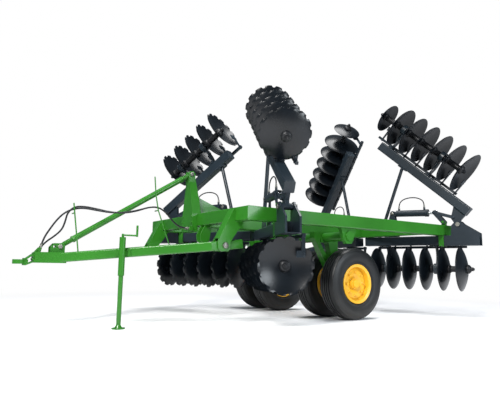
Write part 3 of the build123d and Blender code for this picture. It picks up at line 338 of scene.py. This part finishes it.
def tyre_profile():
    """The section of a ribbed implement tyre: (x, r) from the inner bead round to the outer one."""
    half = TYRE_W / 2
    bead = RIM_R + 0.004
    wall = [(0.089, bead), (0.104, bead + 0.010), (0.112, bead + 0.024), (0.109, bead + 0.030),
            (0.117, bead + 0.055), (half - 0.0015, bead + 0.090), (half, bead + 0.110),
            (half - 0.002, bead + 0.140), (half - 0.008, bead + 0.165),
            (half - 0.015, TYRE_R - 0.030), (half - 0.014, TYRE_R - 0.024),
            (half - 0.024, TYRE_R - 0.013), (half - 0.036, TYRE_R - 0.008)]
    tread = []
    for x0, x1 in GROOVES:
        tread += [(x0 - 0.002, crown(x0)), (x0, crown(x0) - GROOVE_DEPTH),
                  (x1, crown(x1) - GROOVE_DEPTH), (x1 + 0.002, crown(x1))]
    left = [(-x, r) for x, r in wall]
    return left + tread + wall[::-1] + [(0.085, bead - 0.006), (-0.085, bead - 0.006)]


def crown(x):
    """The tread's radius at this distance from its middle."""
    return TYRE_R - 0.003 * (x / 0.08) ** 2


def wheel_place(name):
    """A wheel's own frame at its joint: X along the axle, to the side that its nuts are on."""
    spin = joints[f"{name}_wheel_spin"]
    out = 1 if name.startswith("left") == name.endswith("outer") else -1
    return frame_on(Vector(spin["pos_m"]), (out, 0, 0))


def tyres():
    """A ribbed skin in place of each plain tyre."""
    for name in WHEELS:
        growth = Growth()
        growth.lathe(tyre_profile(), 96, wheel_place(name))
        piece = growth.make(f"{name}_tyre_skin", RUBBER, sharp=50)
        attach(piece, f"{name}_wheel")
        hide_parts(f"{name}_tyre")


def hex_bolt(growth, place, size, height, washer=True):
    """A bolt head on a surface: X of place points away from the surface."""
    if washer:
        growth.stack([(0, size * 1.12), (size * 0.14, size * 1.12)], 16, place)
    growth.stack([(0.0, size), (height * 0.86, size), (height, size * 0.86)], 6, place)


def wheel_nuts():
    """Eight nuts on studs and six hub cap bolts on each rim."""
    for name in WHEELS:
        place = wheel_place(name)
        growth = Growth()
        for k in range(8):
            turn = Matrix.Rotation(2 * pi * k / 8, 4, "X")
            seat = place @ turn @ Matrix.Translation((NUT_SEAT_X, NUT_CIRCLE_R, 0))
            growth.stack([(0, 0.019), (0.006, 0.015)], 16, seat)
            growth.stack([(0.004, 0.0145), (0.020, 0.0145), (0.022, 0.012)], 6, seat)
            growth.stack([(0.020, 0.008), (0.031, 0.008), (0.033, 0.006)], 10, seat)
        for k in range(6):
            turn = Matrix.Rotation(2 * pi * (k + 0.5) / 6, 4, "X")
            seat = place @ turn @ Matrix.Translation((CAP_SEAT_X, CAP_CIRCLE_R, 0))
            hex_bolt(growth, seat, 0.0055, 0.005)
        piece = growth.make(f"{name}_wheel_nuts", YELLOW)
        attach(piece, f"{name}_wheel")


# Disc gangs

def dish(r, outer_r):
    """How far a disc's hollow face stands forward of its middle at this radius."""
    depth = DISC_DEPTH * (outer_r / DISC_R) ** 2
    ball = (outer_r ** 2 + depth ** 2) / (2 * depth)
    flat = ball - sqrt(ball ** 2 - DISC_FLAT_R ** 2)
    return max(0.0, ball - sqrt(ball ** 2 - r ** 2) - flat)


def rim_radius(angle, outer_r, notched):
    """The disc's edge at this angle: round, or cut by a ring of round notches."""
    if not notched:
        return outer_r
    pitch = 2 * pi / NOTCHES
    off = (angle + pitch / 2) % pitch - pitch / 2
    centre = outer_r + NOTCH_OUT
    span = NOTCH_R ** 2 - (centre * sin(off)) ** 2
    if span <= 0:
        return outer_r
    return min(outer_r, centre * cos(off) - sqrt(span))


def disc_angles(notched, outer_r):
    """Angles round a disc, closer together across each notch."""
    if not notched:
        return [2 * pi * k / 72 for k in range(72)]
    centre = outer_r + NOTCH_OUT
    edge = asin(NOTCH_R / centre) * 0.97
    steps = [edge * s for s in (-1.01, -0.96, -0.8, -0.45, 0, 0.45, 0.8, 0.96, 1.01)]
    pitch = 2 * pi / NOTCHES
    steps += [pitch / 2 - 0.012, pitch / 2 + 0.012]
    return [k * pitch + s for k in range(NOTCHES) for s in steps]


def add_disc(growth, place, outer_r, facing, notched):
    """One dished disc whose middle sits at place; its hollow side faces +X when facing is 1."""
    rings, values = [], []
    rounds = (0.22, 0.45, 0.68, 0.86)
    for a in disc_angles(notched, outer_r):
        rim = rim_radius(a, outer_r, notched)
        inner = SPOOL_FLANGE_R - 0.01
        radii = [inner] + [inner + (outer_r - inner) * s for s in rounds] + [rim - 0.012, rim]
        front = [(dish(r, outer_r) + DISC_T, r) for r in radii]
        back = [(dish(r, outer_r), r) for r in radii]
        edge = (front[-1][0] - DISC_T * 0.35, rim)
        back[-1] = (back[-1][0] + DISC_T * 0.45, rim)
        section = back + [edge] + front[:-1][::-1]
        rings.append([(facing * x, r * cos(a), r * sin(a)) for x, r in section])
        values += [r for _, r in section]
    growth.rings(rings, place, closed=True, values=values)


def gang_skins():
    """Dished discs in place of each gang's plain ones, and its spools and axle ends."""
    for name, gang in GANGS.items():
        spin = joints[f"{name}_gang_spin"]
        middle = Vector(spin["pos_m"])
        way = Vector(spin["axis"])
        facing = gang["facing"]
        low, high = sorted((gang["first"], gang["last"]))
        hubs = [k * DISC_PITCH - facing * DISC_DEPTH for k in range(low, high + 1)]
        growth = Growth()
        for k, hub in zip(range(low, high + 1), hubs):
            outer_r = gang["end_r"] if k == gang["last"] else DISC_R
            turn = Matrix.Rotation(0.37 * k, 4, "X") if gang["notched"] else Matrix.Identity(4)
            seat = frame_on(middle + way * hub, way) @ turn
            add_disc(growth, seat, outer_r, facing, gang["notched"])
        piece = growth.make(f"{name}_disc_skins", DISC, sharp=40)
        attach(piece, f"{name}_gang")
        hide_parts(f"{name}_discs")
        shaft = Growth()
        gang_shaft(shaft, frame_on(middle, way), hubs)
        core = shaft.make(f"{name}_spools", BLACK, sharp=35)
        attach(core, f"{name}_gang")


def gang_shaft(growth, place, hubs):
    """The square axle with its spools between the discs, end bells and nuts."""
    for a, b in zip(hubs, hubs[1:]):
        start, end = a + DISC_T, b
        profile = [(start, 0.020), (start, SPOOL_FLANGE_R), (start + 0.012, SPOOL_FLANGE_R),
                   (start + 0.016, SPOOL_FLANGE_R - 0.004), (start + 0.030, SPOOL_R),
                   (end - 0.030, SPOOL_R), (end - 0.016, SPOOL_FLANGE_R - 0.004),
                   (end - 0.012, SPOOL_FLANGE_R), (end, SPOOL_FLANGE_R), (end, 0.020)]
        growth.lathe(profile, 32, place)
    for end, way in ((hubs[0], -1), (hubs[-1] + DISC_T, 1)):
        bell = place @ Matrix.Translation((end, 0, 0)) @ Matrix.Scale(way, 4, (1, 0, 0))
        growth.stack([(0, 0.062), (0.008, 0.064), (0.026, 0.058), (0.040, 0.044), (0.042, 0.036)],
                     32, bell)
        growth.stack([(0.040, 0.036), (0.044, 0.038), (0.046, 0.036)], 24, bell)
        growth.stack([(0.044, 0.030), (0.070, 0.030), (0.074, 0.026)], 6, bell)
        growth.stack([(0.070, AXLE_HALF), (0.086, AXLE_HALF), (0.089, AXLE_HALF * 0.85)], 16, bell)


# Hoses

AXLE_Y = joints["left_outer_wheel_spin"]["pos_m"][1]
HOSE_R = 0.009
LOOP_HOSE_R = 0.008
HINGE_X = 1.380
HINGE_Z = 1.255
# Each row of gangs: degrees from the X axis, hinge y from the axle, way it leans, fold angle, then
# as distances from the hinge along the gang the bearing hangers on the centre gang and on the wing
# and the edge of the wing's first disc, and last how many discs the wing has
ROWS = {
    "front": dict(angle=24.0, y=-1.370, lean=-1, fold=146.0, centre=(-0.405, -1.125),
                  wing=(0.610, 1.090), first=0.530, discs=5),
    "rear": dict(angle=18.5, y=1.720, lean=1, fold=138.0, centre=(-0.325, -1.045),
                 wing=(0.805, 1.525), first=0.405, discs=7),
}
# Route of each long hose from its parking socket to the block on the mast, y from the axle
HOSE_ROUTES = {
    "left": [(0.034, -3.478, 0.790), (0.042, -3.458, 0.880), (0.064, -3.410, 0.975),
             (0.096, -3.350, 1.080), (0.124, -3.280, 1.160), (0.134, -3.185, 1.203),
             (0.134, -3.085, 1.214), (0.134, -2.965, 1.200), (0.134, -2.805, 1.186),
             (0.134, -2.645, 1.200), (0.134, -2.485, 1.243), (0.134, -2.355, 1.288),
             (0.134, -2.245, 1.288), (0.134, -2.155, 1.232), (0.134, -2.065, 1.130),
             (0.134, -1.962, 1.072), (0.134, -1.866, 1.072)],
    "right": [(-0.026, -3.478, 0.782), (-0.012, -3.425, 0.850), (0.022, -3.348, 0.912),
              (0.062, -3.288, 0.980), (0.086, -3.266, 1.066), (0.098, -3.254, 1.152),
              (0.102, -3.194, 1.222), (0.102, -3.090, 1.236), (0.102, -2.960, 1.220),
              (0.102, -2.810, 1.196), (0.102, -2.650, 1.196), (0.102, -2.500, 1.232),
              (0.102, -2.370, 1.284), (0.102, -2.255, 1.300), (0.102, -2.160, 1.252),
              (0.102, -2.075, 1.160), (0.102, -1.968, 1.072), (0.102, -1.866, 1.072)],
}
# The loop over each fold cylinder, (u, v) from the hinge pin
LOOP_ROUTE = [(-0.850, 0.275), (-0.850, 0.335), (-0.815, 0.395), (-0.740, 0.427), (-0.655, 0.435),
              (-0.570, 0.423), (-0.500, 0.385), (-0.475, 0.330), (-0.475, 0.275)]
# The fold cylinder's rear eye, in the gang's own frame from the hinge pin
BARREL_EYE = (-0.945, 0, 0.205)
# The pins of the strut and of the drawbar's arms, y from the axle
STRUT_LOW = (0, -3.290, 0.805)
STRUT_HIGH = (0, -1.800, 1.748)
DRAWBAR_PINS = ((0.930, -1.870, 0.8445), (-0.930, -1.870, 0.8445))


def at(x, y, z):
    """A point whose y is given from the wheel axle."""
    return Vector((x, y + AXLE_Y, z))


def row_place(row, side, folded=False):
    """The gang's own frame at its hinge pin: X outward along it, Z up, turned up if folded."""
    place = Matrix.Translation(at(HINGE_X, row["y"], HINGE_Z))
    place = place @ Matrix.Rotation(radians(row["lean"] * row["angle"]), 4, "Z")
    if folded:
        place = place @ Matrix.Rotation(-radians(row["fold"]), 4, "Y")
    return place if side == "left" else Matrix.Scale(-1, 4, (1, 0, 0)) @ place


def hose(name, points, r, body, node):
    """A hose that bends smoothly along its route, and a crimped ferrule at each end."""
    curve = bpy.data.curves.new(name, "CURVE")
    curve.dimensions = "3D"
    curve.resolution_u = 10
    curve.bevel_depth = r
    curve.bevel_resolution = 5
    curve.use_fill_caps = True
    spline = curve.splines.new("NURBS")
    spline.points.add(len(points) - 1)
    for point, spot in zip(spline.points, points):
        point.co = (*spot, 1)
    spline.order_u = 3
    spline.use_endpoint_u = True
    curve.materials.append(HOSE)
    piece = bpy.data.objects.new(name, curve)
    bpy.context.scene.collection.objects.link(piece)
    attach(piece, body)
    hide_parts(node)
    growth = Growth()
    for end, beyond in ((points[0], points[1]), (points[-1], points[-2])):
        place = frame_on(end, beyond - end)
        growth.stack([(-0.002, r + 0.007), (0.012, r + 0.007), (0.013, r + 0.005)], 6, place)
        growth.stack([(0.012, r + 0.003), (0.040, r + 0.003), (0.042, r + 0.001)], 20, place)
        for k in range(3):
            ring = place @ Matrix.Translation((0.017 + 0.008 * k, 0, 0))
            growth.stack([(0, r + 0.0035), (0.004, r + 0.0035)], 20, ring)
    fitting = growth.make(f"{name}_ferrules", ZINC)
    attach(fitting, body)


def hoses():
    """The long hose on each side of the frame and the loop on each fold cylinder's barrel."""
    for side, route in HOSE_ROUTES.items():
        points = [at(*spot) for spot in route]
        hose(f"{side}_long_hose_line", points, HOSE_R, "frame",
             f"{side}_long_hose")
        for row_name, row in ROWS.items():
            place = row_place(row, side)
            points = [place @ Vector((u, 0, v)) for u, v in LOOP_ROUTE]
            tag = f"{row_name}_{side}_fold"
            hose(f"{tag}_hose_line", points, LOOP_HOSE_R, f"{tag}_barrel",
                 f"{tag}_hose")


# Bolts and trim

def facing_x(place, spot, way):
    """A seat on a face across X at this spot, looking along +X or -X."""
    seat = place @ Matrix.Translation(spot)
    return seat if way > 0 else seat @ Matrix.Rotation(pi, 4, "Z")


def bearing_bolts(growth, place, u):
    """Four bolts on each face of a bearing housing and a grease nipple at its back."""
    drop = GANG_AXLE_Z - HINGE_Z
    for way in (1, -1):
        face = facing_x(place, (u + way * 0.035, 0, drop), way)
        for k in range(4):
            turn = Matrix.Rotation(pi / 4 + pi / 2 * k, 4, "X")
            hex_bolt(growth, face @ turn @ Matrix.Translation((0, 0.059, 0)), 0.009, 0.008)
    nipple = place @ Matrix.Translation((u, 0.074, drop)) @ Matrix.Rotation(pi / 2, 4, "Z")
    growth.stack([(0, 0.006), (0.006, 0.006), (0.008, 0.003), (0.014, 0.0035), (0.016, 0.002)],
                 8, nipple)


def facing_down(place, spot):
    """A seat on the underside of a face at this spot."""
    return place @ Matrix.Translation(spot) @ Matrix.Rotation(pi / 2, 4, "Y")


def foot_bolts(growth, place, u):
    """Two bolt heads on a hanger's foot, one before and one behind the standard."""
    for across in (-0.046, 0.046):
        seat = facing_down(place, (u, across, HANGER_FOOT_Z - HINGE_Z))
        hex_bolt(growth, seat, 0.011, 0.010)


def blade_bolts(growth, place, rim_u, facing):
    """Two bolts through a scraper blade into its arm."""
    for rise in (0.105, 0.140):
        spot = (rim_u + facing * 0.029, 0.178, GANG_AXLE_Z + rise - HINGE_Z)
        hex_bolt(growth, facing_x(place, spot, facing), 0.008, 0.007)


def gang_trim():
    """Bolts of the bearings, hanger feet and scraper blades, on the frame and on each wing."""
    fixed = Growth()
    for row_name, row in ROWS.items():
        facing = 1 if row["lean"] < 0 else -1
        for side in ("left", "right"):
            place = row_place(row, side)
            for u in row["centre"]:
                bearing_bolts(fixed, place, u)
                foot_bolts(fixed, place, u)
            for k in range(CENTRE_DISCS):
                blade_bolts(fixed, place, CENTRE_FIRST_U - DISC_PITCH * k, facing)
            wing_place = row_place(row, side, folded=True)
            wing = Growth()
            for u in row["wing"]:
                bearing_bolts(wing, wing_place, u)
                foot_bolts(wing, wing_place, u)
            for k in range(row["discs"]):
                blade_bolts(wing, wing_place, row["first"] + DISC_PITCH * k, facing)
            piece = wing.make(f"{row_name}_{side}_wing_bolts", DARK)
            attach(piece, f"{row_name}_{side}_wing")
    piece = fixed.make("gang_bolts", DARK)
    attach(piece, "frame")


def both_ends(growth, middle, along, reach, profile, sides):
    """The same small solid on both ends of a pin."""
    for way in (1, -1):
        axis = Vector(along).normalized() * way
        growth.stack(profile, sides, frame_on(middle + axis * reach, axis))


def pin_ends():
    """Collars on hinge pins and barrel eyes, nuts on the pins of the drawbar and the strut."""
    hinge_collar = [(-0.004, 0.030), (0.004, 0.030), (0.006, 0.028)]
    eye_collar = [(-0.003, 0.023), (0.002, 0.023), (0.003, 0.021)]
    drawbar_nut = [(-0.014, 0.034), (0.004, 0.034), (0.006, 0.030)]
    strut_nut = [(-0.009, 0.024), (0.004, 0.024), (0.006, 0.021)]
    growth = Growth()
    for row in ROWS.values():
        for side in ("left", "right"):
            place = row_place(row, side)
            across = (place.to_3x3() @ Vector((0, 1, 0))).normalized()
            both_ends(growth, place.translation, across, 0.103, hinge_collar, 24)
            both_ends(growth, place @ Vector(BARREL_EYE), across, 0.045, eye_collar, 20)
    for pin in DRAWBAR_PINS:
        both_ends(growth, at(*pin), (1, 0, 0), 0.071, drawbar_nut, 6)
    for pin in (STRUT_LOW, STRUT_HIGH):
        both_ends(growth, at(*pin), (1, 0, 0), 0.058, strut_nut, 6)
    piece = growth.make("pin_ends", ZINC)
    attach(piece, "frame")


def strut_screw():
    """The threads that show at both ends of the levelling strut, and their lock nuts."""
    start, pitch, core_r, root_r, crest_r = 0.050, 0.006, 0.018, 0.0235, 0.0262
    low, high = at(*STRUT_LOW), at(*STRUT_HIGH)
    way = (high - low).normalized()
    growth = Growth()
    for end, axis, sleeve in ((low, way, 0.170), (high, -way, 0.150)):
        place = frame_on(end, axis)
        profile = [(start - 0.002, core_r)]
        for k in range(int((sleeve - start) / pitch)):
            profile += [(start + pitch * k, root_r), (start + pitch * (k + 0.5), crest_r)]
        profile += [(sleeve, root_r), (sleeve, core_r)]
        growth.lathe(profile, 24, place)
        growth.stack([(sleeve - 0.022, 0.036), (sleeve - 0.020, 0.040), (sleeve - 0.002, 0.040),
                      (sleeve, 0.036)], 6, place)
    piece = growth.make("strut_screw", GREEN)
    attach(piece, "frame")


def frame_bolts():
    """Bolts on the mast's apron, the pull eye's plate and the gang clamps."""
    growth = Growth()
    apron = ((-0.118, 1.075), (-0.118, 1.150), (-0.108, 1.225), (0.118, 1.150), (0.108, 1.225),
             (0.040, 1.075), (-0.040, 1.075))
    for x, z in apron:
        hex_bolt(growth, frame_on(at(x, -1.820, z), (0, -1, 0)), 0.013, 0.011)
    for x in (-0.030, 0.030):
        for z in (0.672, 0.708):
            hex_bolt(growth, frame_on(at(x, -3.542, z), (0, -1, 0)), 0.010, 0.009)
    for row in ROWS.values():
        for side in ("left", "right"):
            place = row_place(row, side)
            u = -0.220 / cos(radians(row["angle"]))
            for along in (-0.020, 0.020):
                for across in (-0.072, 0.072):
                    low = facing_down(place, (u + along, across, CLAMP_LOW_Z - HINGE_Z))
                    hex_bolt(growth, low, 0.0075, 0.009, washer=False)
    piece = growth.make("frame_bolts", GREEN)
    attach(piece, "frame")


# Floor, lamps and camera

CAMERA_AT = (5.276, AXLE_Y - 4.491, 0.623)
CAMERA_TURN = radians(55.71)
CAMERA_PITCH = radians(7.95)
CAMERA_ROLL = radians(0.86)
SENSOR_MM = 36.0
IMAGE_WIDTH = 500
FOCAL_PX = 481.3
FLOOR_REACH = 60.0
FADE_FROM, FADE_TO = 2.4, 7.0


def camera():
    """The photograph's camera, as it was fitted with the main sizes."""
    view = Vector((-sin(CAMERA_TURN) * cos(CAMERA_PITCH), cos(CAMERA_TURN) * cos(CAMERA_PITCH),
                   sin(CAMERA_PITCH)))
    right = view.cross(Vector((0, 0, 1))).normalized()
    up = right.cross(view)
    side = right * cos(CAMERA_ROLL) + up * sin(CAMERA_ROLL)
    top = up * cos(CAMERA_ROLL) - right * sin(CAMERA_ROLL)
    data = bpy.data.cameras.new("camera")
    data.sensor_width = SENSOR_MM
    data.lens = SENSOR_MM * FOCAL_PX / IMAGE_WIDTH
    cam = bpy.data.objects.new("camera", data)
    place = Matrix((side, top, -view)).transposed().to_4x4()
    place.translation = CAMERA_AT
    cam.matrix_world = place
    bpy.context.scene.collection.objects.link(cam)
    bpy.context.scene.camera = cam


def floor():
    """A pale floor that fades to plain white far from the machine."""
    mesh = bpy.data.meshes.new("floor")
    signs = ((-1, -1), (1, -1), (1, 1), (-1, 1))
    corners = [(x * FLOOR_REACH, y * FLOOR_REACH, 0) for x, y in signs]
    mesh.from_pydata(corners, [], [(0, 1, 2, 3)])
    piece = bpy.data.objects.new("floor", mesh)
    bpy.context.scene.collection.objects.link(piece)
    mat = bpy.data.materials.new("floor")
    mat.use_nodes = True
    tree = mat.node_tree
    shader = tree.nodes["Principled BSDF"]
    shader.inputs["Base Color"].default_value = (0.86, 0.86, 0.87, 1)
    shader.inputs["Roughness"].default_value = 0.7
    glow = tree.nodes.new("ShaderNodeEmission")
    glow.inputs["Color"].default_value = (1, 1, 1, 1)
    glow.inputs["Strength"].default_value = 1.0
    coords = tree.nodes.new("ShaderNodeTexCoord")
    length = tree.nodes.new("ShaderNodeVectorMath")
    length.operation = "LENGTH"
    link(tree, coords.outputs["Object"], length.inputs[0])
    fade = tree.nodes.new("ShaderNodeMapRange")
    fade.interpolation_type = "SMOOTHSTEP"
    fade.inputs["From Min"].default_value = FADE_FROM
    fade.inputs["From Max"].default_value = FADE_TO
    link(tree, length.outputs["Value"], fade.inputs["Value"])
    path = tree.nodes.new("ShaderNodeLightPath")
    amount = tree.nodes.new("ShaderNodeMath")
    amount.operation = "MULTIPLY"
    link(tree, fade.outputs["Result"], amount.inputs[0])
    link(tree, path.outputs["Is Camera Ray"], amount.inputs[1])
    mix = tree.nodes.new("ShaderNodeMixShader")
    link(tree, amount.outputs["Value"], mix.inputs["Fac"])
    link(tree, shader.outputs["BSDF"], mix.inputs[1])
    link(tree, glow.outputs["Emission"], mix.inputs[2])
    link(tree, mix.outputs["Shader"], tree.nodes["Material Output"].inputs["Surface"])
    mesh.materials.append(mat)


def world():
    """White to the eye, a mild grey as light and a darker room in reflections."""
    scene_world = bpy.data.worlds.new("studio")
    bpy.context.scene.world = scene_world
    scene_world.use_nodes = True
    tree = scene_world.node_tree
    light = tree.nodes["Background"]
    light.inputs["Color"].default_value = (0.80, 0.88, 1.0, 1)
    light.inputs["Strength"].default_value = 0.34
    room = tree.nodes.new("ShaderNodeBackground")
    room.inputs["Color"].default_value = (0.70, 0.85, 1.0, 1)
    room.inputs["Strength"].default_value = 0.16
    white = tree.nodes.new("ShaderNodeBackground")
    white.inputs["Color"].default_value = (1, 1, 1, 1)
    white.inputs["Strength"].default_value = 1.0
    path = tree.nodes.new("ShaderNodeLightPath")
    mirrored = tree.nodes.new("ShaderNodeMixShader")
    link(tree, path.outputs["Is Glossy Ray"], mirrored.inputs["Fac"])
    link(tree, light.outputs["Background"], mirrored.inputs[1])
    link(tree, room.outputs["Background"], mirrored.inputs[2])
    mix = tree.nodes.new("ShaderNodeMixShader")
    link(tree, path.outputs["Is Camera Ray"], mix.inputs["Fac"])
    link(tree, mirrored.outputs["Shader"], mix.inputs[1])
    link(tree, white.outputs["Background"], mix.inputs[2])
    link(tree, mix.outputs["Shader"], tree.nodes["World Output"].inputs["Surface"])


def lamp(name, spot, towards, size, power, colour=(1, 1, 1)):
    """A round lamp at this spot that shines towards a point."""
    data = bpy.data.lights.new(name, "AREA")
    data.shape = "DISK"
    data.size = size
    data.energy = power
    data.color = colour
    obj = bpy.data.objects.new(name, data)
    place = frame_on(Vector(spot), Vector(spot) - Vector(towards))
    obj.matrix_world = place @ Matrix.Rotation(pi / 2, 4, "Y")
    bpy.context.scene.collection.objects.link(obj)


def lamps():
    """A key lamp on the camera's side, a wide one above and a weak one behind on the +X side."""
    lamp("key", (4.5, -6.5, 6.5), (0, 0, 0.8), 3.0, 1250, (1.0, 0.98, 0.95))
    lamp("top", (0.5, 1.0, 8.0), (0, 0.3, 0.5), 5.0, 750)
    lamp("side", (8.0, 3.0, 3.0), (0, 0.5, 0.9), 3.0, 350, (0.88, 0.95, 1.0))


dress_nodes()
tyres()
wheel_nuts()
gang_skins()
hoses()
gang_trim()
pin_ends()
strut_screw()
frame_bolts()
bpy.context.scene.view_settings.view_transform = "Standard"
floor()
world()
lamps()
camera()
